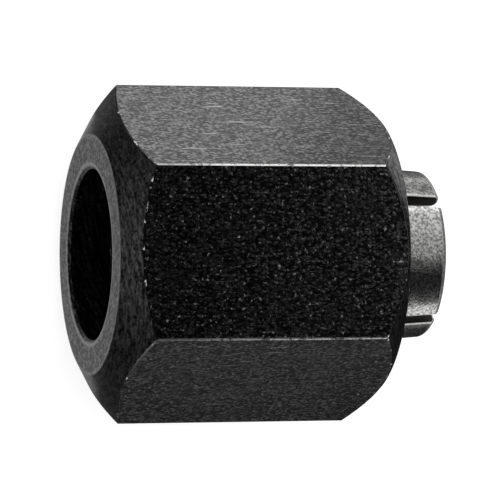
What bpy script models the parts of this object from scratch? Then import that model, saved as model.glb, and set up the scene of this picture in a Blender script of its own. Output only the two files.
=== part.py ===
"""Router collet: a hexagonal clamping nut with its captive, slotted, tapered collet.

Metres, +Z up. The nut lies on one of its six flats, its axis along +X at half the
width across flats. The open tool side faces -X and the collet's tapered tail faces +X.
"""

import math

import bmesh
import bpy
from mathutils import Matrix

OBJECT_NAME = "router_collet"

# Collet, along the axis
COLLET_LENGTH = 0.0273
FLANGE_LENGTH = 0.0036
NECK_LENGTH = 0.0036
TAPER_SHOULDER = 0.0003
TAIL_CHAMFER = 0.0003
BORE_CHAMFER = 0.0004

# Collet, round the shank bore
SHANK_BORE_D = 0.0127
NOSE_WALL = 0.00165
FLANGE_HEIGHT = 0.00345
NECK_WALL = 0.00225
TAIL_WALL = 0.0014
TAPER_HALF_ANGLE = math.radians(4.0)

# Collet, slots
SLOT_COUNT = 4
SLOT_WIDTH = 0.0012
SLOT_TURN = math.radians(7.0)
RELIEF_HOLE_D = 0.0030
RELIEF_SETBACK = 0.0020

# Nut, inside, from the tool side to the spindle side
LIP_BORE_MARGIN = 0.0015
LIP_LENGTH = 0.0042
MOUTH_CHAMFER = 0.0003
SEAT_HALF_ANGLE = math.radians(45.0)
THREAD_DEPTH = 0.0008
THREAD_ENTRY_MARGIN = 0.0003

# Nut, outside
NUT_LENGTH = 0.0266
NUT_WALL = 0.0025
FRONT_FACE_STEP = 0.0025
FRONT_CHAMFER_ANGLE = math.radians(30.0)
REAR_FACE_STEP = 0.0003
REAR_CHAMFER_ANGLE = math.radians(45.0)

# Retaining ring
RING_WIRE_D = 0.0012
RING_CATCH = 0.00035
RING_OPENING_ANGLE = math.radians(34.0)

# Fits between the pieces
SEAT_CLEARANCE = 0.0003
FLANGE_CLEARANCE = 0.0004
RING_CLEARANCE = 0.0003
AXIAL_PLAY = 0.0005
STOP_CLEARANCE = 0.0001

# How far a cutter runs past the face that it cuts
SHAPING_MARGIN = 0.0010

# How finely the round forms are divided
NUT_FACETS = 96
COLLET_FACETS = 96
RELIEF_FACETS = 24
RING_SEGMENTS = 44
SHARP_ANGLE = math.radians(20.0)

# Diameters, worked out from the shank bore outward
TAPER_LENGTH = COLLET_LENGTH - FLANGE_LENGTH - NECK_LENGTH
NOSE_D = SHANK_BORE_D + 2 * NOSE_WALL
FLANGE_D = SHANK_BORE_D + 2 * FLANGE_HEIGHT
NECK_D = SHANK_BORE_D + 2 * NECK_WALL
TAIL_D = SHANK_BORE_D + 2 * TAIL_WALL
TAPER_LARGE_D = TAIL_D + 2 * TAPER_LENGTH * math.tan(TAPER_HALF_ANGLE)
LIP_BORE_D = SHANK_BORE_D + 2 * LIP_BORE_MARGIN
THREAD_MINOR_D = FLANGE_D + 2 * FLANGE_CLEARANCE
THREAD_MAJOR_D = THREAD_MINOR_D + 2 * THREAD_DEPTH
RING_INNER_D = FLANGE_D - 2 * RING_CATCH
RING_CENTRE_D = RING_INNER_D + RING_WIRE_D
GROOVE_D = RING_CENTRE_D + RING_WIRE_D + 2 * RING_CLEARANCE
NUT_ACROSS_FLATS = THREAD_MAJOR_D + 2 * NUT_WALL
NUT_ACROSS_CORNERS = NUT_ACROSS_FLATS / math.cos(math.radians(30.0))
FRONT_FACE_D = NUT_ACROSS_FLATS - 2 * FRONT_FACE_STEP
REAR_FACE_D = NUT_ACROSS_FLATS - 2 * REAR_FACE_STEP

# Places along the axis, measured from the front face of the nut
SEAT_END = LIP_LENGTH + (THREAD_MINOR_D - LIP_BORE_D) / 2 / math.tan(SEAT_HALF_ANGLE)
NOSE_END = (
    LIP_LENGTH
    + (NOSE_D - LIP_BORE_D) / 2 / math.tan(SEAT_HALF_ANGLE)
    + SEAT_CLEARANCE / math.sin(SEAT_HALF_ANGLE)
)
RIM_START = NOSE_END + (FLANGE_D - NOSE_D) / 2 / math.tan(SEAT_HALF_ANGLE)
FLANGE_END = NOSE_END + FLANGE_LENGTH
TAPER_START = FLANGE_END + NECK_LENGTH
SLOT_END = TAPER_START + RELIEF_SETBACK
TAIL_END = NOSE_END + COLLET_LENGTH
RING_POSITION = FLANGE_END + AXIAL_PLAY + STOP_CLEARANCE + RING_WIRE_D / 2
GROOVE_HALF_WIDTH = RING_WIRE_D / 2 + RING_CLEARANCE

# Edge breaks at the tail, which its wall may limit
TAIL_EDGE = min(TAIL_CHAMFER, TAIL_WALL / 2)
BORE_EDGE = min(BORE_CHAMFER, TAIL_WALL / 3)

# Steels
BLACK_OXIDE_STEEL = ((0.020, 0.020, 0.021), 0.42, 0.85)
GROUND_STEEL = ((0.42, 0.42, 0.41), 0.34, 1.0)
SPRING_STEEL = ((0.16, 0.16, 0.17), 0.38, 1.0)


def clear_scene():
    """Remove every object that the scene starts with."""
    for old in list(bpy.data.objects):
        bpy.data.objects.remove(old)


def new_collection(name):
    """A collection linked to the scene."""
    collection = bpy.data.collections.new(name)
    bpy.context.scene.collection.children.link(collection)
    return collection


def steel(name, look):
    """A Principled steel from its base colour, roughness and metallic value."""
    base_colour, roughness, metallic = look
    material = bpy.data.materials.new(name)
    material.use_nodes = True
    shader = material.node_tree.nodes["Principled BSDF"]
    shader.inputs["Base Color"].default_value = (*base_colour, 1.0)
    shader.inputs["Roughness"].default_value = roughness
    shader.inputs["Metallic"].default_value = metallic
    return material


def add_object(name, data, collection, axis):
    """An object of the given data, standing on the nut's axis."""
    added = bpy.data.objects.new(name, data)
    added.parent = axis
    collection.objects.link(added)
    return added


def make_cutter(cutter):
    """A helper that only shapes a part, and doesn't show."""
    cutter.hide_render = True
    cutter.display_type = "WIRE"
    return cutter


def turned(name, profile, facets, collection, axis):
    """A solid of revolution from (radius, position) points, tail side first.

    The profile runs down its outer side. A point on the axis closes the solid, and a
    profile that returns to its first point makes a ring.
    """
    mesh = bpy.data.meshes.new(name)
    shape = bmesh.new()
    corners = [shape.verts.new((radius, 0.0, position)) for radius, position in profile]
    for start, end in zip(corners, corners[1:]):
        shape.edges.new((start, end))
    if profile[0][0] > 0:
        shape.edges.new((corners[-1], corners[0]))
    shape.to_mesh(mesh)
    shape.free()
    lathe = add_object(name, mesh, collection, axis)
    screw = lathe.modifiers.new("Turning", "SCREW")
    screw.axis = "Z"
    screw.steps = facets
    screw.render_steps = facets
    screw.use_merge_vertices = True
    screw.merge_threshold = 0.00001
    return lathe


def combine(target, other, operation):
    """Join, cut or intersect a part with another solid."""
    boolean = target.modifiers.new(other.name, "BOOLEAN")
    boolean.object = other
    boolean.operation = operation
    boolean.solver = "EXACT"


def finish(part, material):
    """Fix the modelled shape as the part's own mesh, with crisp edges and smooth rounds."""
    bpy.context.view_layer.update()
    graph = bpy.context.evaluated_depsgraph_get()
    mesh = bpy.data.meshes.new_from_object(part.evaluated_get(graph))
    mesh.name = part.name
    part.modifiers.clear()
    part.data = mesh
    mesh.materials.clear()
    mesh.materials.append(material)
    mesh.shade_smooth()
    mesh.set_sharp_from_angle(angle=SHARP_ANGLE)


def build_nut(parts, cutters, axis):
    """Clamping nut: a hexagon bar, faced and chamfered in the lathe, bored and grooved."""
    hexagon = bmesh.new()
    bmesh.ops.create_cone(
        hexagon,
        cap_ends=True,
        segments=6,
        radius1=NUT_ACROSS_CORNERS / 2,
        radius2=NUT_ACROSS_CORNERS / 2,
        depth=NUT_LENGTH,
        matrix=Matrix.Translation((0, 0, NUT_LENGTH / 2)),
    )
    mesh = bpy.data.meshes.new("collet_nut")
    hexagon.to_mesh(mesh)
    hexagon.free()
    nut = add_object("collet_nut", mesh, parts, axis)

    # The chamfer cones run out past the corners, where the hexagon bounds them.
    outer = NUT_ACROSS_CORNERS / 2 + SHAPING_MARGIN
    front_reach = (outer - FRONT_FACE_D / 2) * math.tan(FRONT_CHAMFER_ANGLE)
    rear_reach = (outer - REAR_FACE_D / 2) * math.tan(REAR_CHAMFER_ANGLE)
    envelope = turned(
        "chamfer_envelope",
        [
            (0.0, NUT_LENGTH),
            (REAR_FACE_D / 2, NUT_LENGTH),
            (outer, NUT_LENGTH - rear_reach),
            (outer, front_reach),
            (FRONT_FACE_D / 2, 0.0),
            (0.0, 0.0),
        ],
        NUT_FACETS,
        cutters,
        axis,
    )
    make_cutter(envelope)
    combine(nut, envelope, "INTERSECT")

    lip = LIP_BORE_D / 2
    minor = THREAD_MINOR_D / 2
    entry = THREAD_MAJOR_D / 2 + THREAD_ENTRY_MARGIN
    mouth = lip + MOUTH_CHAMFER
    boring = turned(
        "nut_boring",
        [
            (0.0, NUT_LENGTH + SHAPING_MARGIN),
            (entry, NUT_LENGTH + SHAPING_MARGIN),
            (entry, NUT_LENGTH),
            (minor, NUT_LENGTH - (entry - minor)),
            (minor, RING_POSITION + GROOVE_HALF_WIDTH),
            (GROOVE_D / 2, RING_POSITION + GROOVE_HALF_WIDTH),
            (GROOVE_D / 2, RING_POSITION - GROOVE_HALF_WIDTH),
            (minor, RING_POSITION - GROOVE_HALF_WIDTH),
            (minor, SEAT_END),
            (lip, LIP_LENGTH),
            (lip, MOUTH_CHAMFER),
            (mouth, 0.0),
            (mouth, -SHAPING_MARGIN),
            (0.0, -SHAPING_MARGIN),
        ],
        NUT_FACETS,
        cutters,
        axis,
    )
    make_cutter(boring)
    combine(nut, boring, "DIFFERENCE")
    finish(nut, steel("black_oxide_steel", BLACK_OXIDE_STEEL))


def slot_cutter(index, cutters, axis):
    """One slot from the tail end through the wall, ending in a round relief hole."""
    reach = FLANGE_D
    depth = TAIL_END - SLOT_END + SHAPING_MARGIN
    blade = bmesh.new()
    bmesh.ops.create_cube(blade, size=1.0)
    bmesh.ops.scale(blade, vec=(reach, SLOT_WIDTH, depth), verts=blade.verts)
    bmesh.ops.translate(blade, vec=(reach / 2, 0.0, SLOT_END + depth / 2), verts=blade.verts)
    mesh = bpy.data.meshes.new(f"slot_{index}")
    blade.to_mesh(mesh)
    blade.free()
    saw = add_object(f"slot_{index}", mesh, cutters, axis)

    drill_shape = bmesh.new()
    bmesh.ops.create_cone(
        drill_shape,
        cap_ends=True,
        segments=RELIEF_FACETS,
        radius1=RELIEF_HOLE_D / 2,
        radius2=RELIEF_HOLE_D / 2,
        depth=reach,
        matrix=Matrix.Translation((reach / 2, 0.0, SLOT_END)) @ Matrix.Rotation(math.radians(90), 4, "Y"),
    )
    drill_mesh = bpy.data.meshes.new(f"relief_{index}")
    drill_shape.to_mesh(drill_mesh)
    drill_shape.free()
    drill = add_object(f"relief_{index}", drill_mesh, cutters, axis)

    # Turned from straight up, which is local -X on the lying axis.
    angle = math.pi + SLOT_TURN + (index + 0.5) * math.tau / SLOT_COUNT
    for tool in (saw, drill):
        tool.rotation_euler.z = angle
        make_cutter(tool)
    return saw, drill


def build_collet(parts, cutters, axis):
    """Collet: one turned and ground piece, slotted from its tail into springy jaws."""
    bore = SHANK_BORE_D / 2
    tail = TAIL_D / 2
    taper = TAPER_LARGE_D / 2
    profile = [
        (bore + BORE_EDGE, TAIL_END),
        (tail - TAIL_EDGE, TAIL_END),
        (tail + TAIL_EDGE * math.tan(TAPER_HALF_ANGLE), TAIL_END - TAIL_EDGE),
        (taper - TAPER_SHOULDER * math.tan(TAPER_HALF_ANGLE), TAPER_START + TAPER_SHOULDER),
        (taper - TAPER_SHOULDER, TAPER_START),
        (NECK_D / 2, TAPER_START),
        (NECK_D / 2, FLANGE_END),
        (FLANGE_D / 2, FLANGE_END),
        (FLANGE_D / 2, RIM_START),
        (NOSE_D / 2, NOSE_END),
        (bore + BORE_EDGE, NOSE_END),
        (bore, NOSE_END + BORE_EDGE),
        (bore, TAIL_END - BORE_EDGE),
    ]
    collet = turned("collet", profile, COLLET_FACETS, parts, axis)
    for index in range(SLOT_COUNT):
        for tool in slot_cutter(index, cutters, axis):
            combine(collet, tool, "DIFFERENCE")
    finish(collet, steel("ground_steel", GROUND_STEEL))


def build_retaining_ring(parts, axis):
    """Open round-wire snap ring in the nut's groove, which holds the collet captive."""
    curve = bpy.data.curves.new("retaining_ring", "CURVE")
    curve.dimensions = "3D"
    curve.bevel_depth = RING_WIRE_D / 2
    curve.bevel_resolution = 2
    curve.use_fill_caps = True
    curve.render_resolution_u = 0
    wire = curve.splines.new("POLY")
    wire.points.add(RING_SEGMENTS)
    swept = math.tau - RING_OPENING_ANGLE
    for step, point in enumerate(wire.points):
        # The opening is at the top, which is local -X on the lying axis.
        angle = math.pi + RING_OPENING_ANGLE / 2 + swept * step / RING_SEGMENTS
        across = RING_CENTRE_D / 2 * math.cos(angle)
        along = RING_CENTRE_D / 2 * math.sin(angle)
        point.co = (across, along, 0.0, 1.0)
    curve.materials.append(steel("spring_steel", SPRING_STEEL))
    ring = add_object("retaining_ring", curve, parts, axis)
    ring.location.z = RING_POSITION


def main():
    clear_scene()
    parts = new_collection(OBJECT_NAME)
    cutters = new_collection("cutters")

    # The common axis: local +Z runs along the row's +X, from the nut's front face.
    axis = bpy.data.objects.new("nut_axis", None)
    axis.empty_display_size = NUT_LENGTH / 4
    axis.location = (-TAIL_END / 2, 0.0, NUT_ACROSS_FLATS / 2)
    axis.rotation_euler = (0.0, math.radians(90.0), 0.0)
    parts.objects.link(axis)

    build_nut(parts, cutters, axis)
    build_collet(parts, cutters, axis)
    build_retaining_ring(parts, axis)


main()
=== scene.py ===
"""Router collet: the black hexagonal clamping nut, its bright slotted collet and the ring between them."""

import math

import bmesh
import bpy
from mathutils import Matrix, Vector


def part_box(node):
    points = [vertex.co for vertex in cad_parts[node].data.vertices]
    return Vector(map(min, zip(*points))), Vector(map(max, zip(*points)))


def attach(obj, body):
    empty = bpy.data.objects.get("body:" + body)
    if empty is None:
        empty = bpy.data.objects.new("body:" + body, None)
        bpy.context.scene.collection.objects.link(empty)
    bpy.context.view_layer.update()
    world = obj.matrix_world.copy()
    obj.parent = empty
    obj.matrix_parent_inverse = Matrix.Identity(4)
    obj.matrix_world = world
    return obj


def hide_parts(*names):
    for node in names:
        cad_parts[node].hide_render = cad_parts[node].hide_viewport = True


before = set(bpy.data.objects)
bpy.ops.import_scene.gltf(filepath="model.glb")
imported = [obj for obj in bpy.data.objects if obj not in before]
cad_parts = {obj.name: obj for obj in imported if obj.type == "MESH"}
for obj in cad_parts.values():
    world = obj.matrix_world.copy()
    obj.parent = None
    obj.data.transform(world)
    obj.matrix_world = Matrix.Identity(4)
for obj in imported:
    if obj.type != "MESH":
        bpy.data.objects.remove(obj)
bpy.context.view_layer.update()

# Clamping nut.
# One piece of hexagon bar, faced and chamfered in the lathe, bored, grooved for the ring and
# tapped M22 x 1.5, then blackened in a hot oxide bath. Handling wears its edges bright.
# Glints on its flats and arcs, highlights at its front rims and shade in its mouth are painted.

MM = 0.001

nut_low, nut_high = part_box("collet_nut")
NUT_FRONT = nut_low[0]
NUT_REAR = nut_high[0]
NUT_ACROSS_FLATS = nut_high[2] - nut_low[2]
NUT_ACROSS_CORNERS = NUT_ACROSS_FLATS / math.cos(math.radians(30))
AXIS_HEIGHT = (nut_high[2] + nut_low[2]) / 2
AXIS_POINT = (0.0, 0.0, AXIS_HEIGHT)

FRONT_FACE_RADIUS = NUT_ACROSS_FLATS / 2 - 2.5 * MM
FRONT_CHAMFER_ANGLE = math.radians(30)
REAR_FACE_RADIUS = NUT_ACROSS_FLATS / 2 - 0.3 * MM
REAR_CHAMFER_ANGLE = math.radians(45)
CHAMFERED_LENGTH = 3.5 * MM
LIP_BORE_RADIUS = 7.85 * MM
LIP_LENGTH = 4.2 * MM
MOUTH_CHAMFER = 0.3 * MM

THREAD_MINOR_RADIUS = 10.2 * MM
THREAD_ROOT_RADIUS = 10.94 * MM
THREAD_ENTRY_RADIUS = 11.3 * MM
THREAD_PITCH = 1.5 * MM
THREAD_FLANK_ANGLE = math.radians(30)
TAP_OVERLAP = 0.2 * MM
TAP_STEPS = 120

HAIR = 0.01 * MM
ring_low, ring_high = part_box("retaining_ring")
RING_PLACE = (ring_high[0] + ring_low[0]) / 2
GROOVE_MARGIN = 0.3 * MM
GROOVE_FRONT = ring_low[0] - GROOVE_MARGIN
GROOVE_REAR = ring_high[0] + GROOVE_MARGIN
GROOVE_RADIUS = THREAD_ROOT_RADIUS + HAIR
THREAD_START = RING_PLACE + 0.85 * MM

CUTTING_MARGIN = 1.0 * MM
MERGE_DISTANCE = 0.0005 * MM
BISECT_TOLERANCE = 1e-7
LATHE_STEPS = 240
SHARP_ANGLE = math.radians(20)
SMOOTH_ANGLE = math.radians(25)
HEX_EDGE_BREAK = 0.13 * MM
EDGE_BREAK = 0.09 * MM
RIM_DEPTH = 0.6 * MM
CORNER_DEPTH = 0.3 * MM
NEAR = 0.05 * MM


def deselect():
    bpy.ops.object.select_all(action="DESELECT")


def draw_profile(name, points):
    """A line through (place along the axis, radius) points above the axis, drawn by extruding one corner."""
    deselect()
    bpy.ops.mesh.primitive_plane_add(size=MM, location=(points[0][0], 0.0, AXIS_HEIGHT + points[0][1]))
    line = bpy.context.active_object
    line.name = line.data.name = name
    bpy.ops.object.transform_apply(location=True, rotation=True, scale=True)
    bpy.ops.object.mode_set(mode="EDIT")
    bpy.ops.mesh.select_all(action="SELECT")
    bpy.ops.mesh.merge(type="CENTER")
    for (start, start_radius), (end, end_radius) in zip(points, points[1:]):
        step = (end - start, 0.0, end_radius - start_radius)
        bpy.ops.mesh.extrude_region_move(TRANSFORM_OT_translate={"value": step})
    bpy.ops.object.mode_set(mode="OBJECT")
    return line


def close_seams(piece):
    """Merges what a spin or a cut left double, and turns every face outwards."""
    bpy.ops.object.mode_set(mode="EDIT")
    bpy.ops.mesh.select_all(action="SELECT")
    bpy.ops.mesh.remove_doubles(threshold=MERGE_DISTANCE)
    bpy.ops.mesh.normals_make_consistent(inside=False)
    bpy.ops.object.mode_set(mode="OBJECT")
    return piece


def turn(name, points, closed=False):
    """A turned solid: a profile spun once round the nut's axis."""
    lathe_work = draw_profile(name, points + points[:1] if closed else points)
    bpy.ops.object.mode_set(mode="EDIT")
    bpy.ops.mesh.select_all(action="SELECT")
    bpy.ops.mesh.remove_doubles(threshold=MERGE_DISTANCE)
    bpy.ops.mesh.spin(steps=LATHE_STEPS, angle=math.tau, center=AXIS_POINT, axis=(1, 0, 0))
    bpy.ops.object.mode_set(mode="OBJECT")
    return close_seams(lathe_work)


def apply(piece, modifier):
    bpy.context.view_layer.objects.active = piece
    bpy.ops.object.modifier_apply(modifier=modifier.name)


def cut(piece, tool, operation="DIFFERENCE"):
    """Cuts a tool out of a piece, or keeps what they share, and puts the tool away."""
    boolean = piece.modifiers.new("cut", "BOOLEAN")
    boolean.operation = operation
    boolean.object = tool
    boolean.solver = "EXACT"
    apply(piece, boolean)
    bpy.data.objects.remove(tool)


def break_edges(piece, width_at, broken_slot, segments, profile=0.5):
    """Breaks the sharp edges, round at profile 0.5 and flat at 0.25, and gives them a material slot.

    width_at(middle) gives an edge's width from its middle point, and 0 leaves it sharp.
    """
    shape = bmesh.new()
    shape.from_mesh(piece.data)
    widths = {}
    for edge in shape.edges:
        if len(edge.link_faces) == 2 and edge.calc_face_angle() > SHARP_ANGLE:
            widths[edge.index] = width_at((edge.verts[0].co + edge.verts[1].co) / 2)
    widest = max(widths.values())
    weights = shape.edges.layers.float.new("bevel_weight_edge")
    for edge in shape.edges:
        edge[weights] = widths.get(edge.index, 0.0) / widest
    shape.to_mesh(piece.data)
    shape.free()
    bevel = piece.modifiers.new("edges", "BEVEL")
    bevel.limit_method = "WEIGHT"
    bevel.width = widest
    bevel.segments = segments
    bevel.profile = profile
    bevel.material = broken_slot
    bevel.use_clamp_overlap = False
    apply(piece, bevel)


def crisp(piece, angle=SMOOTH_ANGLE):
    """Smooth rounds and clean flats."""
    deselect()
    piece.select_set(True)
    bpy.context.view_layer.objects.active = piece
    bpy.ops.object.shade_smooth_by_angle(angle=angle)
    weighted = piece.modifiers.new("flats", "WEIGHTED_NORMAL")
    weighted.keep_sharp = True
    weighted.weight = 100
    apply(piece, weighted)


class Signal:
    """A shader socket: arithmetic on it adds Math nodes, and node() adds any other node."""

    def __init__(self, tree, socket=None):
        self.tree = tree
        self.socket = socket

    def node(self, kind, settings=None, values=None, output=0):
        """Adds a node: its settings first, then its sockets' values or links by name or number."""
        added = self.tree.nodes.new(kind)
        for setting, value in (settings or {}).items():
            setattr(added, setting, value)
        for name, value in (values or {}).items():
            if isinstance(value, Signal):
                self.tree.links.new(value.socket, added.inputs[name])
            else:
                added.inputs[name].default_value = value
        return Signal(self.tree, added.outputs[output] if added.outputs else None)

    def maths(self, operation, *terms):
        return self.node("ShaderNodeMath", {"operation": operation}, dict(enumerate(terms)))

    def __add__(self, other):
        return self.maths("ADD", self, other)

    __radd__ = __add__

    def __sub__(self, other):
        return self.maths("SUBTRACT", self, other)

    def __rsub__(self, other):
        return self.maths("SUBTRACT", other, self)

    def __mul__(self, other):
        return self.maths("MULTIPLY", self, other)

    __rmul__ = __mul__

    def step(self, low, high):
        """0 below low, 1 above high, and smooth between."""
        return self.node(
            "ShaderNodeMapRange",
            {"interpolation_type": "SMOOTHSTEP"},
            {"Value": self, "From Min": low, "From Max": high},
        )

    def place(self):
        """Where the point lies on the piece, in metres."""
        return self.node("ShaderNodeTexCoord", output=3)

    def vector(self, operation, *terms, output=0):
        """Arithmetic on places and directions."""
        return self.node("ShaderNodeVectorMath", {"operation": operation}, dict(enumerate(terms)), output)

    def mapping(self, place, **values):
        """A place that is moved, turned or scaled."""
        return self.node("ShaderNodeMapping", {}, {"Vector": place, **values})

    def noise(self, place, scale, detail=2.0, roughness=0.5):
        return self.node(
            "ShaderNodeTexNoise",
            {},
            {"Vector": place, "Scale": scale, "Detail": detail, "Roughness": roughness},
        )

    def spots(self, place, scale):
        """Distance to scattered points, with each point's own random value as the second result."""
        near = self.node("ShaderNodeTexVoronoi", {"feature": "F1"}, {"Vector": place, "Scale": scale})
        chance = Signal(self.tree, near.socket.node.outputs["Color"])
        chance = self.node("ShaderNodeSeparateColor", {}, {0: chance})
        return near, chance

    def blend_colour(self, factor, dark, light):
        return self.node("ShaderNodeMix", {"data_type": "RGBA"}, {0: factor, 6: dark, 7: light}, output=2)

    def bump(self, height, strength, distance):
        return self.node("ShaderNodeBump", {}, {"Strength": strength, "Distance": distance, "Height": height})


def new_material(name, colour, metallic, roughness):
    """A Principled material with its constant values; returns it with its shader and a first signal."""
    material = bpy.data.materials.new(name)
    material.use_nodes = True
    tree = material.node_tree
    shader = tree.nodes["Principled BSDF"]
    shader.inputs["Base Color"].default_value = colour
    shader.inputs["Metallic"].default_value = metallic
    shader.inputs["Roughness"].default_value = roughness
    return material, shader, Signal(tree)


def feed(signal, shader, name):
    signal.tree.links.new(signal.socket, shader.inputs[name])


OXIDE = (0.095, 0.095, 0.095, 1)
OXIDE_DARK = (0.030, 0.030, 0.030, 1)
OXIDE_LIGHT = (0.200, 0.200, 0.200, 1)
RIM_HIGHLIGHT_GREY = (0.50, 0.50, 0.49, 1)
TURNED_OXIDE_DARK = (0.012, 0.012, 0.012, 1)
TURNED_OXIDE_LIGHT = (0.330, 0.330, 0.330, 1)
SPECK_GLINT = (0.24, 0.24, 0.24, 1)
SCUFF_AND_RIM_HIGHLIGHT = (0.72, 0.72, 0.71, 1)
BARE_STEEL_AND_GLINT = (0.88, 0.88, 0.87, 1)

BAR_GRAIN = (0.62, 1.0, 1.0)
DRAWING_LINE_TURN = (0.3, 0.2, 0.45)
DRAWING_LINE_SCALE = (320, 3600, 3600)
BAR_RELIEF = 0.035 * MM
TURNING_RELIEF = 0.020 * MM


def bar_oxide():
    """The six flats: mottled oxide on the drawn bar, with drawing lines that glint and fine pale grains
    painted in as glints.
    """
    material, shader, signal = new_material("bar_oxide", OXIDE, metallic=1.0, roughness=0.33)
    place = signal.place()
    drawn = signal.mapping(place, Scale=BAR_GRAIN)
    grain = signal.noise(drawn, scale=3800, detail=2, roughness=0.6)
    near, chance = signal.spots(drawn, scale=4200)
    blobs = (1 - near.step(0.15, 0.72)) * chance.step(0.0, 0.85)
    calm = signal.noise(place, scale=260, detail=2).step(0.42, 0.66)
    # Painted glints: sparse pale grains, less metallic, so that they light up like grains catching the light.
    glint_specks = signal.noise(place, scale=2700, detail=1.5, roughness=0.5).step(0.60, 0.82)
    mottle = grain.step(0.30, 0.70) * 0.75 + blobs * 1.20 - 0.73
    tone = mottle * (1.35 - calm * 0.6) + 0.46
    colour = signal.blend_colour(tone, OXIDE_DARK, OXIDE_LIGHT)
    colour = signal.blend_colour(glint_specks, colour, SPECK_GLINT)
    line_place = signal.mapping(place, Rotation=DRAWING_LINE_TURN, Scale=DRAWING_LINE_SCALE)
    drawing_lines = signal.noise(line_place, scale=1.0, detail=0).step(0.76, 0.82)
    colour = signal.blend_colour(drawing_lines * 0.30, colour, BARE_STEEL_AND_GLINT)
    feed(colour, shader, "Base Color")
    feed(1 - glint_specks * 0.55, shader, "Metallic")
    feed(0.21 + grain * 0.08 + glint_specks * 0.20, shader, "Roughness")
    feed(signal.bump(grain * 0.5 + blobs * 0.3 + glint_specks * 0.3, 0.7, BAR_RELIEF), shader, "Normal")
    return material


def turned_oxide():
    """The faced, chamfered and bored surfaces: oxide over fine rings left by the lathe tool.

    It is painted pale at the front face's two rims as painted highlights, painted darker on the mouth's
    chamfer and the bore behind it as painted shade, and scuffed at the rear chamfer on the +Y side.
    """
    material, shader, signal = new_material("turned_oxide", OXIDE, metallic=1.0, roughness=0.30)
    place = signal.place()
    centred = signal.mapping(place, Location=(0.0, 0.0, -AXIS_HEIGHT))
    outward = signal.vector("MULTIPLY", centred, (0, 1, 1))
    radius = signal.vector("LENGTH", outward, output=1)
    along = signal.node("ShaderNodeSeparateXYZ", {}, {0: place})
    sideways = signal.node("ShaderNodeSeparateXYZ", {}, {0: place}, output=1)
    profile = signal.node("ShaderNodeCombineXYZ", {}, {0: radius, 1: along})
    wander = signal.vector("MULTIPLY", place, (0.34, 0.34, 0.34))
    rings = signal.noise(signal.vector("ADD", profile, wander), scale=2700, detail=3, roughness=0.65)
    cloud = signal.noise(place, scale=3400, detail=2, roughness=0.6)
    front = 1 - along.step(NUT_FRONT + 0.02 * MM, NUT_FRONT + 0.06 * MM)
    # Painted highlights: the front face's outer and inner rims are painted paler, as the light lines along
    # those edges.
    outer_rim_highlight = radius.step(FRONT_FACE_RADIUS - 0.30 * MM, FRONT_FACE_RADIUS - 0.10 * MM)
    inner_rim_highlight = 1 - radius.step(LIP_BORE_RADIUS + 0.44 * MM, LIP_BORE_RADIUS + 0.74 * MM)
    # Painted shade: the mouth's chamfer and the bore just behind it are painted darker.
    mouth = 1 - radius.step(LIP_BORE_RADIUS + 0.26 * MM, LIP_BORE_RADIUS + 0.32 * MM)
    tone = rings.step(0.40, 0.66) * 0.50 + cloud.step(0.38, 0.68) * 0.32 - mouth * 0.22
    tone = tone + (cloud.step(0.42, 0.60) - 0.5) * front * 0.55
    colour = signal.blend_colour(tone, TURNED_OXIDE_DARK, TURNED_OXIDE_LIGHT)
    colour = signal.blend_colour((outer_rim_highlight * 0.35 + inner_rim_highlight) * front * 0.5, colour, SCUFF_AND_RIM_HIGHLIGHT)
    scuffs = signal.noise(place, scale=2300, detail=3, roughness=0.7).step(0.50, 0.64)
    scuffs = scuffs * along.step(NUT_REAR - 3.4 * MM, NUT_REAR - 0.8 * MM)
    scuffs = scuffs * sideways.step(-1.0 * MM, 6.0 * MM)
    colour = signal.blend_colour(scuffs * 0.7, colour, SCUFF_AND_RIM_HIGHLIGHT)
    feed(colour, shader, "Base Color")
    feed(0.26 + cloud * 0.10 + scuffs * 0.15, shader, "Roughness")
    feed(signal.bump(rings, 0.7, TURNING_RELIEF), shader, "Normal")
    return material


def worn_edge():
    """The six long edges, rubbed through to bright steel in an uneven line, least near the front."""
    material, shader, signal = new_material("worn_edge", BARE_STEEL_AND_GLINT, metallic=1.0, roughness=0.32)
    place = signal.place()
    along = signal.node("ShaderNodeSeparateXYZ", {}, {0: place})
    patches = signal.noise(place, scale=1500, detail=3, roughness=0.7).step(0.36, 0.50)
    worn = patches * (0.40 + along.step(NUT_FRONT + 4.0 * MM, NUT_FRONT + 10.0 * MM) * 0.60)
    feed(signal.blend_colour(worn, OXIDE_LIGHT, BARE_STEEL_AND_GLINT), shader, "Base Color")
    return material


def rubbed_edge_glints():
    """The arcs where the chamfers meet the flats: thinned oxide with a sparse nick here and there, painted
    pale and dull as a glint.
    """
    material, shader, signal = new_material("rubbed_edge_glints", OXIDE_LIGHT, metallic=1.0, roughness=0.30)
    # Painted glints: sparse spots of pale, less metallic steel that light up along the arcs.
    nick_glints = signal.noise(signal.place(), scale=1300, detail=2, roughness=0.6).step(0.56, 0.68)
    feed(signal.blend_colour(nick_glints, OXIDE, BARE_STEEL_AND_GLINT), shader, "Base Color")
    feed(0.28 + nick_glints * 0.35, shader, "Roughness")
    feed(1 - nick_glints * 0.6, shader, "Metallic")
    return material


def rim_highlight_paint():
    """The rims of the front face: oxide worn thin and grey, and painted paler still as a highlight along each
    rim.
    """
    material, shader, signal = new_material("rim_highlight_paint", OXIDE_LIGHT, metallic=1.0, roughness=0.34)
    patches = signal.noise(signal.place(), scale=1500, detail=3, roughness=0.7)
    feed(signal.blend_colour(patches.step(0.35, 0.70), OXIDE_LIGHT, RIM_HIGHLIGHT_GREY), shader, "Base Color")
    return material


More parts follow.
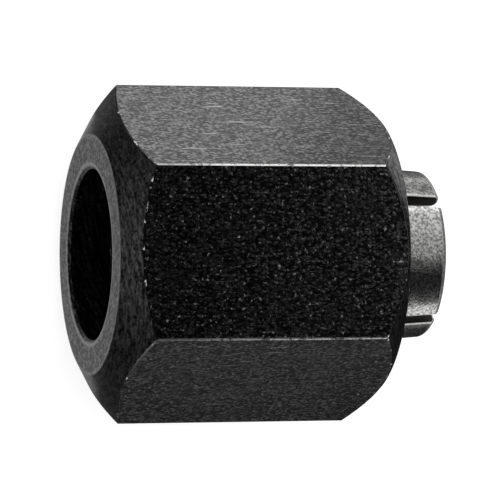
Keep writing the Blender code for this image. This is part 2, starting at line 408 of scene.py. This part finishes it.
def hexagon_bar():
    """The blank, cut to length, with one flat down."""
    deselect()
    bpy.ops.mesh.primitive_cylinder_add(
        vertices=6,
        radius=NUT_ACROSS_CORNERS / 2,
        depth=NUT_REAR - NUT_FRONT,
        location=((NUT_FRONT + NUT_REAR) / 2, 0.0, AXIS_HEIGHT),
        rotation=(0.0, math.radians(90), 0.0),
    )
    bar = bpy.context.active_object
    bar.name = bar.data.name = "collet_nut_finished"
    bpy.ops.object.transform_apply(location=True, rotation=True, scale=True)
    return bar


def chamfered_outside():
    """The turned shape inside which the bar is left: its cones are the nut's two chamfers."""
    outside = NUT_ACROSS_CORNERS / 2 + CUTTING_MARGIN
    front_run = (outside - FRONT_FACE_RADIUS) * math.tan(FRONT_CHAMFER_ANGLE)
    rear_run = (outside - REAR_FACE_RADIUS) * math.tan(REAR_CHAMFER_ANGLE)
    return turn(
        "chamfers",
        [
            (NUT_FRONT, 0.0),
            (NUT_FRONT, FRONT_FACE_RADIUS),
            (NUT_FRONT + front_run, outside),
            (NUT_REAR - rear_run, outside),
            (NUT_REAR, REAR_FACE_RADIUS),
            (NUT_REAR, 0.0),
        ],
    )


def boring():
    """What the lathe takes out: the mouth, lip, collet's seat, ring's groove and thread's bore."""
    seat_run = THREAD_MINOR_RADIUS - LIP_BORE_RADIUS
    entry_run = THREAD_ENTRY_RADIUS - THREAD_MINOR_RADIUS
    return turn(
        "boring",
        [
            (NUT_FRONT - CUTTING_MARGIN, 0.0),
            (NUT_FRONT - CUTTING_MARGIN, LIP_BORE_RADIUS + MOUTH_CHAMFER),
            (NUT_FRONT, LIP_BORE_RADIUS + MOUTH_CHAMFER),
            (NUT_FRONT + MOUTH_CHAMFER, LIP_BORE_RADIUS),
            (NUT_FRONT + LIP_LENGTH, LIP_BORE_RADIUS),
            (NUT_FRONT + LIP_LENGTH + seat_run, THREAD_MINOR_RADIUS),
            (GROOVE_FRONT, THREAD_MINOR_RADIUS),
            (GROOVE_FRONT, GROOVE_RADIUS),
            (GROOVE_REAR, GROOVE_RADIUS),
            (GROOVE_REAR, THREAD_MINOR_RADIUS),
            (NUT_REAR - entry_run, THREAD_MINOR_RADIUS),
            (NUT_REAR, THREAD_ENTRY_RADIUS),
            (NUT_REAR + CUTTING_MARGIN, THREAD_ENTRY_RADIUS),
            (NUT_REAR + CUTTING_MARGIN, 0.0),
        ],
    )


def tap():
    """A 60 degree ridge wound along the axis, from inside the ring's groove out past the rear face."""
    flat = THREAD_PITCH / 8
    core = THREAD_MINOR_RADIUS - TAP_OVERLAP
    slope = (THREAD_ROOT_RADIUS - core) * math.tan(THREAD_FLANK_ANGLE)
    gap = (THREAD_PITCH - flat - 2 * slope) / 2
    finish = NUT_REAR + CUTTING_MARGIN
    start = THREAD_START - 2 * THREAD_PITCH
    ridge = [
        (start, core),
        (start + gap, core),
        (start + gap + slope, THREAD_ROOT_RADIUS),
        (start + gap + slope + flat, THREAD_ROOT_RADIUS),
        (start + gap + 2 * slope + flat, core),
        (start + THREAD_PITCH, core),
    ]
    wound = draw_profile("tap", ridge)
    screw = wound.modifiers.new("winding", "SCREW")
    screw.axis = "X"
    screw.screw_offset = THREAD_PITCH
    screw.iterations = math.ceil((finish - start) / THREAD_PITCH) + 2
    screw.steps = TAP_STEPS
    screw.render_steps = TAP_STEPS
    screw.use_merge_vertices = True
    screw.merge_threshold = MERGE_DISTANCE
    bpy.context.scene.cursor.location = AXIS_POINT
    bpy.ops.object.origin_set(type="ORIGIN_CURSOR")
    apply(wound, screw)
    bpy.ops.object.transform_apply(location=True, rotation=True, scale=True)
    bpy.ops.object.mode_set(mode="EDIT")
    for end, direction in ((THREAD_START, -1), (finish, 1)):
        bpy.ops.mesh.select_all(action="SELECT")
        bpy.ops.mesh.bisect(
            plane_co=(end, 0, 0),
            plane_no=(direction, 0, 0),
            use_fill=True,
            clear_outer=True,
            threshold=BISECT_TOLERANCE,
        )
    bpy.ops.object.mode_set(mode="OBJECT")
    return close_seams(wound)


def from_axis(point):
    """How far a point lies from the nut's axis."""
    return math.hypot(point.y, point.z - AXIS_HEIGHT)


def nut_edge_width(middle):
    """The six long edges are broken most, and the inner edge of the mouth's chamfer stays sharp."""
    between_chamfers = NUT_FRONT + CHAMFERED_LENGTH < middle.x < NUT_REAR - CHAMFERED_LENGTH
    if between_chamfers and from_axis(middle) > NUT_ACROSS_CORNERS / 2 - NEAR:
        return HEX_EDGE_BREAK
    if middle.x < NUT_FRONT + RIM_DEPTH and from_axis(middle) < LIP_BORE_RADIUS + NEAR:
        return 0.0
    return EDGE_BREAK


TURNED, FLATS, HEX_EDGES, ARCS, RIM_HIGHLIGHTS = range(5)


def collet_nut():
    """The turned and bored bar, finished and with broken edges. The tap comes last, for a sharp thread."""
    nut = hexagon_bar()
    cut(nut, chamfered_outside(), "INTERSECT")
    cut(nut, boring())

    nut.data.materials.clear()
    for finish in (turned_oxide(), bar_oxide(), worn_edge(), rubbed_edge_glints(), rim_highlight_paint()):
        nut.data.materials.append(finish)
    for face in nut.data.polygons:
        from_bar = abs(face.normal.x) < 0.01 and from_axis(face.center) > NUT_ACROSS_FLATS / 2 - NEAR
        face.material_index = FLATS if from_bar else TURNED
    break_edges(nut, nut_edge_width, broken_slot=ARCS, segments=2, profile=0.3)
    for face in nut.data.polygons:
        if face.material_index != ARCS:
            continue
        # Bevels at the front rims take the painted rim highlight.
        if face.center.x < NUT_FRONT + RIM_DEPTH:
            face.material_index = RIM_HIGHLIGHTS
        elif abs(face.normal.x) < 0.05 and from_axis(face.center) > NUT_ACROSS_CORNERS / 2 - CORNER_DEPTH:
            face.material_index = HEX_EDGES

    cut(nut, tap())
    crisp(nut)
    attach(nut, "nut")
    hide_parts("collet_nut")


collet_nut()

# Collet.
# One piece of alloy steel, turned, hardened and ground on its taper, then sawn from the tail
# into four springy jaws. It is left bright, and its saw slots keep a small bright break.
# Its broken edges carry a painted highlight, and its slots and bore are painted dark as shade.

collet_low, collet_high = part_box("collet")
NOSE = collet_low[0]
TAIL = collet_high[0]
SHANK_RADIUS = 6.35 * MM
NOSE_RADIUS = 8.0 * MM
FLANGE_RADIUS = (collet_high[2] - collet_low[2]) / 2
FLANGE_LENGTH = 3.6 * MM
NECK_LENGTH = 3.6 * MM
NECK_RADIUS = 8.6 * MM
TAPER_START = NOSE + FLANGE_LENGTH + NECK_LENGTH
TAPER_ANGLE = math.radians(4)
TAIL_RADIUS = 7.75 * MM
TAPER_RADIUS = TAIL_RADIUS + (TAIL - NOSE - FLANGE_LENGTH - NECK_LENGTH) * math.tan(TAPER_ANGLE)
TAIL_CHAMFER = 0.3 * MM
TAIL_END_DEPTH = 0.6 * MM
SHOULDER = 0.3 * MM
BORE_CHAMFER = 0.4 * MM
SLOT_WIDTH = 1.2 * MM
SLOT_FIRST_TURN = math.radians(38)
SLOT_COUNT = 4
SLOT_REACH = FLANGE_RADIUS + CUTTING_MARGIN
RELIEF_RADIUS = 1.5 * MM
RELIEF_PLACE = TAPER_START + 2.0 * MM
COLLET_EDGE_BREAK = 0.15 * MM

GROUND_STEEL = (0.50, 0.50, 0.49, 1)
GROUND_STEEL_DARK = (0.26, 0.26, 0.255, 1)
GROUND_STEEL_LIGHT = (0.84, 0.84, 0.83, 1)
BREAK_HIGHLIGHT_STEEL = (0.80, 0.80, 0.79, 1)
BREAK_HIGHLIGHT_STEEL_DARK = (0.60, 0.60, 0.59, 1)
TURNED_STEEL = (0.66, 0.66, 0.65, 1)
TURNED_STEEL_DARK = (0.46, 0.46, 0.45, 1)
SLOT_SHADE = (0.040, 0.038, 0.036, 1)
SLOT_SHADE_DARK = (0.020, 0.019, 0.018, 1)
SLOT_SHADE_LIGHT = (0.060, 0.057, 0.054, 1)
GRINDING_RELIEF = 0.018 * MM


def ground_steel():
    """Bright ground steel: the fine grain of the grinding wheel, with faint stains."""
    material, shader, signal = new_material("ground_steel", GROUND_STEEL, metallic=1.0, roughness=0.26)
    place = signal.place()
    stains = signal.noise(place, scale=1200, detail=3, roughness=0.6)
    fine = signal.noise(place, scale=3900, detail=1.5, roughness=0.5)
    tone = stains.step(0.3, 0.7) * 0.2 + fine.step(0.36, 0.64) * 0.8
    feed(signal.blend_colour(tone, GROUND_STEEL_DARK, GROUND_STEEL_LIGHT), shader, "Base Color")
    feed(0.20 + stains * 0.12, shader, "Roughness")
    feed(signal.bump(fine, 0.6, GRINDING_RELIEF), shader, "Normal")
    return material


def break_highlight_paint():
    """The collet's broken edges, brighter and less metallic than its ground faces: a painted highlight along
    each edge.
    """
    material, shader, signal = new_material("break_highlight_paint", BREAK_HIGHLIGHT_STEEL, metallic=0.25, roughness=0.50)
    patches = signal.noise(signal.place(), scale=2500, detail=2)
    feed(signal.blend_colour(patches.step(0.3, 0.6), BREAK_HIGHLIGHT_STEEL_DARK, BARE_STEEL_AND_GLINT), shader, "Base Color")
    return material


def turned_steel():
    """The collet's end and its chamfer, turned and not ground: satin, with the marks of the tool."""
    material, shader, signal = new_material("turned_steel", TURNED_STEEL, metallic=0.90, roughness=0.46)
    marks = signal.noise(signal.place(), scale=3400, detail=2).step(0.3, 0.7)
    feed(signal.blend_colour(marks, TURNED_STEEL_DARK, GROUND_STEEL_LIGHT), shader, "Base Color")
    return material


def slot_shade_paint():
    """Painted shade: the slot walls, relief holes and bore are painted near black, as the shade inside them.
    """
    material, shader, signal = new_material("slot_shade_paint", SLOT_SHADE, metallic=1.0, roughness=0.48)
    patches = signal.noise(signal.place(), scale=1200, detail=3, roughness=0.6)
    feed(signal.blend_colour(patches, SLOT_SHADE_DARK, SLOT_SHADE_LIGHT), shader, "Base Color")
    feed(0.42 + patches * 0.12, shader, "Roughness")
    return material


def turned_collet():
    """The collet before it is sawn: the flange at the nose, the neck, and the taper down to the tail."""
    return turn(
        "collet_finished",
        [
            (NOSE, SHANK_RADIUS + BORE_CHAMFER),
            (NOSE, NOSE_RADIUS),
            (NOSE + FLANGE_RADIUS - NOSE_RADIUS, FLANGE_RADIUS),
            (NOSE + FLANGE_LENGTH, FLANGE_RADIUS),
            (NOSE + FLANGE_LENGTH, NECK_RADIUS),
            (TAPER_START, NECK_RADIUS),
            (TAPER_START, TAPER_RADIUS - SHOULDER),
            (TAPER_START + SHOULDER, TAPER_RADIUS - SHOULDER * math.tan(TAPER_ANGLE)),
            (TAIL - TAIL_CHAMFER, TAIL_RADIUS + TAIL_CHAMFER * math.tan(TAPER_ANGLE)),
            (TAIL, TAIL_RADIUS - TAIL_CHAMFER),
            (TAIL, SHANK_RADIUS + BORE_CHAMFER),
            (TAIL - BORE_CHAMFER, SHANK_RADIUS),
            (NOSE + BORE_CHAMFER, SHANK_RADIUS),
        ],
        closed=True,
    )


def saw(turned):
    """The saw's cut in from the tail, through one wall."""
    length = TAIL - RELIEF_PLACE + CUTTING_MARGIN
    middle = Vector(AXIS_POINT) + Vector((0.0, math.sin(turned), math.cos(turned))) * SLOT_REACH / 2
    deselect()
    bpy.ops.mesh.primitive_cube_add(size=1.0, location=(RELIEF_PLACE + length / 2, middle.y, middle.z))
    blade = bpy.context.active_object
    blade.scale = (length, SLOT_WIDTH, SLOT_REACH)
    blade.rotation_euler.x = -turned
    bpy.ops.object.transform_apply(location=True, rotation=True, scale=True)
    return blade


def relief_drill(turned):
    """The hole that ends a slot, so that the jaws spring there and don't crack."""
    middle = Vector(AXIS_POINT) + Vector((0.0, math.sin(turned), math.cos(turned))) * SLOT_REACH / 2
    deselect()
    bpy.ops.mesh.primitive_cylinder_add(
        vertices=48,
        radius=RELIEF_RADIUS,
        depth=SLOT_REACH,
        location=(RELIEF_PLACE, middle.y, middle.z),
        rotation=(-turned, 0.0, 0.0),
    )
    drill = bpy.context.active_object
    bpy.ops.object.transform_apply(location=True, rotation=True, scale=True)
    return drill


GROUND, BREAK_HIGHLIGHTS, SHADE_PAINTED, TAIL_END = range(4)


def collet_body():
    """The collet is turned, slotted and hardened, its outside is ground and its edges are broken."""
    collet = turned_collet()
    for number in range(SLOT_COUNT):
        turned = SLOT_FIRST_TURN + number * math.tau / SLOT_COUNT
        cut(collet, saw(turned))
        cut(collet, relief_drill(turned))

    collet.data.materials.clear()
    for finish in (ground_steel(), break_highlight_paint(), slot_shade_paint(), turned_steel()):
        collet.data.materials.append(finish)
    for face in collet.data.polygons:
        outward = Vector((0.0, face.center.y, face.center.z - AXIS_HEIGHT)).normalized()
        drilled = abs(face.center.x - RELIEF_PLACE) < RELIEF_RADIUS + HAIR
        # Faces inside the slots, relief holes and bore take the painted shade.
        recessed = face.normal.dot(outward) < 0.5 and (drilled or abs(face.normal.x) < 0.5)
        face.material_index = SHADE_PAINTED if recessed else GROUND
    # The broken edges take the pale, less metallic paint of a painted highlight.
    break_edges(collet, lambda middle: COLLET_EDGE_BREAK, broken_slot=BREAK_HIGHLIGHTS, segments=3)
    for face in collet.data.polygons:
        at_the_end = face.normal.x > 0.2 and face.center.x > TAIL - TAIL_END_DEPTH
        if at_the_end and face.material_index != SHADE_PAINTED:
            face.material_index = TAIL_END

    crisp(collet)
    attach(collet, "collet_body")
    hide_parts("collet")


collet_body()

# Retaining ring.
# An open ring of round spring wire, sprung into the nut's groove. It catches behind the
# collet's flange and draws the collet out of the spindle when the nut is undone.

WIRE_RADIUS = (ring_high[0] - ring_low[0]) / 2
WIRE_SIDES = 24
WIRE_SMOOTH_ANGLE = math.radians(40)
RING_RADIUS = (ring_high[1] - ring_low[1]) / 2 - WIRE_RADIUS
RING_OPENING = math.radians(34)
RING_STEPS = 120
RING_END_BREAK = 0.1 * MM

WIRE = (0.17, 0.17, 0.18, 1)
WIRE_DARK = (0.12, 0.12, 0.125, 1)
WIRE_LIGHT = (0.24, 0.24, 0.245, 1)


def spring_wire():
    """Dark drawn spring wire, faintly streaked."""
    material, shader, signal = new_material("spring_wire", WIRE, metallic=1.0, roughness=0.34)
    streaks = signal.noise(signal.place(), scale=3000, detail=3)
    feed(signal.blend_colour(streaks, WIRE_DARK, WIRE_LIGHT), shader, "Base Color")
    feed(0.28 + streaks * 0.12, shader, "Roughness")
    return material


def retaining_ring():
    """The wire's round section, swept round the axis from one end of the opening to the other."""
    deselect()
    bpy.ops.mesh.primitive_circle_add(
        vertices=WIRE_SIDES,
        radius=WIRE_RADIUS,
        fill_type="NGON",
        location=(RING_PLACE, 0.0, AXIS_HEIGHT + RING_RADIUS),
        rotation=(math.radians(90), 0.0, 0.0),
    )
    ring = bpy.context.active_object
    ring.name = ring.data.name = "retaining_ring_finished"
    bpy.ops.object.transform_apply(location=True, rotation=True, scale=True)
    bpy.ops.object.mode_set(mode="EDIT")
    bpy.ops.mesh.select_all(action="SELECT")
    bpy.ops.transform.rotate(
        value=RING_OPENING / 2, orient_axis="X", orient_type="GLOBAL", center_override=AXIS_POINT
    )
    bpy.ops.mesh.spin(steps=RING_STEPS, angle=math.tau - RING_OPENING, center=AXIS_POINT, axis=(1, 0, 0))
    bpy.ops.object.mode_set(mode="OBJECT")
    close_seams(ring)
    ring.data.materials.clear()
    ring.data.materials.append(spring_wire())
    break_edges(ring, lambda middle: RING_END_BREAK, broken_slot=0, segments=2)
    crisp(ring, WIRE_SMOOTH_ANGLE)
    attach(ring, "ring")
    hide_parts("retaining_ring")


retaining_ring()

# Studio.
# A pale floor under a large soft lamp, with soft boxes above and at the sides. Flat cards that
# only reflections see stand in for the dark set of a black metal shot, a grey for each facet.

CAMERA_DISTANCE = 0.350
CAMERA_TURN = math.radians(17.14)
CAMERA_TILT = math.radians(-0.97)
CAMERA_ROLL = math.radians(-0.33)
CAMERA_AIM = Vector((NUT_FRONT + 15.43 * MM, 0.40 * MM, AXIS_HEIGHT))
CAMERA_LENS = 271.7
CAMERA_SENSOR = 36.0

WHITE = (1, 1, 1, 1)
FLOOR_GREY = (0.45, 0.45, 0.45, 1)
FLOOR_SIZE = 6.0
FLOOR_GLOW = 0.80
AMBIENT = 0.25
MIRRORED_AMBIENT = 0.013


def camera():
    """A long lens nearly square to the upper flat, turned toward the open end, with +Y up in the picture."""
    back = Vector((
        -math.sin(CAMERA_TURN) * math.cos(CAMERA_TILT),
        math.sin(CAMERA_TILT),
        math.cos(CAMERA_TURN) * math.cos(CAMERA_TILT),
    ))
    right = Vector((math.cos(CAMERA_TURN), 0.0, math.sin(CAMERA_TURN)))
    up = back.cross(right)
    turned = Matrix((right, up, back)).transposed() @ Matrix.Rotation(CAMERA_ROLL, 3, "Z")
    deselect()
    bpy.ops.object.camera_add(location=CAMERA_AIM + back * CAMERA_DISTANCE)
    placed = bpy.context.active_object
    placed.matrix_world = Matrix.Translation(CAMERA_AIM + back * CAMERA_DISTANCE) @ turned.to_4x4()
    placed.data.lens = CAMERA_LENS
    placed.data.sensor_width = CAMERA_SENSOR
    placed.data.clip_start = 0.01
    placed.data.clip_end = 20.0
    bpy.context.scene.camera = placed


def rays(signal, *kinds):
    """For each kind of ray that is named, a signal that is 1 on such rays and 0 on all others."""
    outputs = signal.node("ShaderNodeLightPath").socket.node.outputs
    return [Signal(signal.tree, outputs[kind]) for kind in kinds]


def floor():
    """A sheet that glows white to the camera and in reflections, and takes the object's shadow."""
    deselect()
    bpy.ops.mesh.primitive_plane_add(size=FLOOR_SIZE, location=(0.0, 0.0, nut_low[2] - HAIR))
    sheet = bpy.context.active_object
    sheet.name = "floor"
    bpy.ops.object.transform_apply(location=True, rotation=True, scale=True)
    material, shader, signal = new_material("pale_floor", FLOOR_GREY, metallic=0.0, roughness=0.9)
    shader.inputs["Specular IOR Level"].default_value = 0.0
    shader.inputs["Emission Color"].default_value = WHITE
    seen, mirrored, through = rays(signal, "Is Camera Ray", "Is Glossy Ray", "Is Transmission Ray")
    looked_at = signal.maths("MAXIMUM", signal.maths("MAXIMUM", seen, mirrored), through)
    feed(looked_at * FLOOR_GLOW, shader, "Emission Strength")
    sheet.data.materials.append(material)


def card(name, low, high, shade):
    """A flat card between two corners that only reflections see."""
    deselect()
    bpy.ops.mesh.primitive_cube_add(size=1.0, location=(Vector(low) + Vector(high)) / 2)
    sheet = bpy.context.active_object
    sheet.name = name
    sheet.scale = Vector(high) - Vector(low)
    bpy.ops.object.transform_apply(location=True, rotation=True, scale=True)
    material = bpy.data.materials.new(name)
    material.use_nodes = True
    tree = material.node_tree
    tree.nodes.clear()
    glow = tree.nodes.new("ShaderNodeEmission")
    glow.inputs["Color"].default_value = (shade, shade, shade, 1)
    out = tree.nodes.new("ShaderNodeOutputMaterial")
    tree.links.new(glow.outputs[0], out.inputs[0])
    sheet.data.materials.append(material)
    sheet.visible_camera = False
    sheet.visible_diffuse = False
    sheet.visible_shadow = False
    sheet.visible_transmission = False


def lamp(name, size, place, radiance, aim=AXIS_POINT, glossy=True):
    """A rectangular soft lamp, its power worked out from how bright its face looks."""
    deselect()
    bpy.ops.object.light_add(type="AREA", location=place)
    light = bpy.context.active_object
    light.name = name
    light.data.shape = "RECTANGLE"
    light.data.size, light.data.size_y = size
    light.data.energy = radiance * math.pi * size[0] * size[1]
    light.rotation_euler = (Vector(aim) - Vector(place)).to_track_quat("-Z", "Y").to_euler()
    light.visible_glossy = glossy


def lamps():
    """One lamp lights the floor and the part, and the soft boxes are what the facets mirror."""
    lamp("overhead", (1.2, 1.2), (0.0, 0.1, 1.2), radiance=2.1, aim=(0, 0, 0), glossy=False)
    lamp("side_box", (0.8, 0.32), (0.16, 0.60, 0.20), radiance=1.30)
    lamp("upper_box", (0.15, 0.26), (0.23, 0.29, 0.37), radiance=0.62)
    lamp("over_box", (0.23, 0.20), (0.302, 0.074, 0.440), radiance=0.55)
    lamp("over_edge", (0.20, 0.08), (0.285, -0.064, 0.440), radiance=0.20)
    lamp("rear_side_box", (0.24, 0.26), (0.29, 0.135, 0.190), radiance=0.45)
    lamp("far_strip", (0.50, 0.070), (0.10, -0.30, 0.040), radiance=1.20)
    lamp("far_veil", (0.30, 0.10), (-0.03, -0.29, 0.135), radiance=0.26)


def cards():
    """What the front end, the rear end with the tail, and the sides of the nut mirror."""
    card("front_card", (-0.082, -0.065, 0.0), (-0.080, 0.065, 0.060), shade=0.28)
    card("front_low_card", (-0.080, -0.065, 0.0), (-0.0145, 0.065, 0.0001), shade=0.06)
    card("mouth_card", (-0.034, -0.015, 0.0001), (-0.0145, 0.015, 0.0002), shade=0.40)
    card("upper_mouth_card", (-0.024, 0.0145, 0.0001), (0.004, 0.024, 0.0002), shade=0.14)
    card("rear_card", (0.062, -0.050, 0.0), (0.064, 0.050, 0.050), shade=0.05)
    card("rear_low_card", (0.0140, -0.0080, 0.0), (0.062, 0.017, 0.0001), shade=0.06)
    card("rear_upper_card", (0.0140, 0.0170, 0.0), (0.034, 0.030, 0.0001), shade=0.20)
    card("rear_far_card", (0.034, 0.0100, 0.0001), (0.062, 0.034, 0.0002), shade=0.60)
    card("side_shade", (0.014, 0.034, 0.0001), (0.028, 0.075, 0.0002), shade=0.75)
    card("side_dark", (0.028, 0.034, 0.0001), (0.100, 0.085, 0.0002), shade=0.30)
    card("side_low_card", (0.030, 0.075, 0.0), (0.300, 0.420, 0.0001), shade=0.20)
    card("low_card", (-0.0145, -0.046, 0.0), (0.120, -0.0080, 0.0001), shade=0.135)
    card("low_middle_card", (-0.0145, -0.080, 0.0), (0.120, -0.046, 0.0001), shade=0.27)
    card("low_far_card", (-0.0145, -0.290, 0.0), (0.120, -0.080, 0.0001), shade=0.06)
    card("rear_under_card", (0.0140, -0.034, 0.0001), (0.062, -0.0080, 0.0002), shade=0.022)


def surroundings():
    """White to the camera, a soft fill on dull surfaces, and nearly black in reflections."""
    world = bpy.data.worlds.new("studio")
    bpy.context.scene.world = world
    world.use_nodes = True
    signal = Signal(world.node_tree)
    background = world.node_tree.nodes["Background"]
    background.inputs["Color"].default_value = WHITE
    seen, mirrored = rays(signal, "Is Camera Ray", "Is Glossy Ray")
    strength = AMBIENT + seen * (1 - AMBIENT) - mirrored * (AMBIENT - MIRRORED_AMBIENT)
    feed(strength, background, "Strength")


camera()
floor()
lamps()
cards()
surroundings()

scene = bpy.context.scene
scene.view_settings.view_transform = "Standard"
